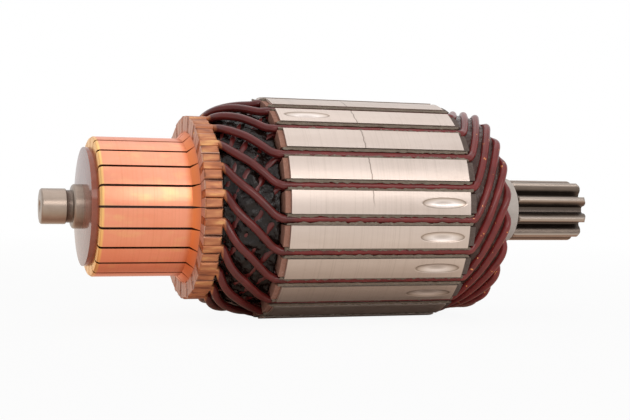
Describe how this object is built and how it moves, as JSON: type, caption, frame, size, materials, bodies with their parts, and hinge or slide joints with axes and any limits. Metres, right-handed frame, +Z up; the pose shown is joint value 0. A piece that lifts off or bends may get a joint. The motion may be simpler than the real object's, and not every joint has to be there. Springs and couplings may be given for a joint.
{
  "type": "motor armature",
  "caption": "Wound armature of a geared starter motor: copper commutator, slotted steel core with red enamelled hairpin coils, and a shaft ending in a pinion.",
  "frame": {"origin": "on the shaft's axis, in the middle of the commutator-end journal", "axes": "+X along the shaft towards the pinion, +Z up, lying as it rests with a core slot at the bottom"},
  "size_m": [0.1399, 0.054, 0.054],
  "materials": {
    "shaft_steel": "turned, oil-stained",
    "lamination_steel": "turned bright",
    "comm_fibre": "vulcanised fibre",
    "pinion_fibre": "varnished fibre",
    "slot_paper": "varnished paper",
    "sleeve": "moulded",
    "hub_resin": "phenolic moulding",
    "bar_copper": "turned copper",
    "enamelled_wire": "enamelled copper"
  },
  "bodies": {
    "root": {"shaft": "shaft_steel", "lamination_stack": "lamination_steel", "commutator_end_disc": "comm_fibre", "pinion_end_disc": "pinion_fibre", "slot_liners": "slot_paper", "shaft_sleeve": "sleeve", "commutator_hub": "hub_resin", "commutator_bar_01": "bar_copper", "commutator_bar_02": "bar_copper", "commutator_bar_03": "bar_copper", "commutator_bar_04": "bar_copper", "commutator_bar_05": "bar_copper", "commutator_bar_06": "bar_copper", "commutator_bar_07": "bar_copper", "commutator_bar_08": "bar_copper", "commutator_bar_09": "bar_copper", "commutator_bar_10": "bar_copper", "commutator_bar_11": "bar_copper", "commutator_bar_12": "bar_copper", "commutator_bar_13": "bar_copper", "commutator_bar_14": "bar_copper", "commutator_bar_15": "bar_copper", "commutator_bar_16": "bar_copper", "commutator_bar_17": "bar_copper", "commutator_bar_18": "bar_copper", "commutator_bar_19": "bar_copper", "commutator_bar_20": "bar_copper", "commutator_bar_21": "bar_copper", "coil_01": "enamelled_wire", "coil_02": "enamelled_wire", "coil_03": "enamelled_wire", "coil_04": "enamelled_wire", "coil_05": "enamelled_wire", "coil_06": "enamelled_wire", "coil_07": "enamelled_wire", "coil_08": "enamelled_wire", "coil_09": "enamelled_wire", "coil_10": "enamelled_wire", "coil_11": "enamelled_wire", "coil_12": "enamelled_wire", "coil_13": "enamelled_wire", "coil_14": "enamelled_wire", "coil_15": "enamelled_wire", "coil_16": "enamelled_wire", "coil_17": "enamelled_wire", "coil_18": "enamelled_wire", "coil_19": "enamelled_wire", "coil_20": "enamelled_wire", "coil_21": "enamelled_wire"}
  },
  "joints": []
}
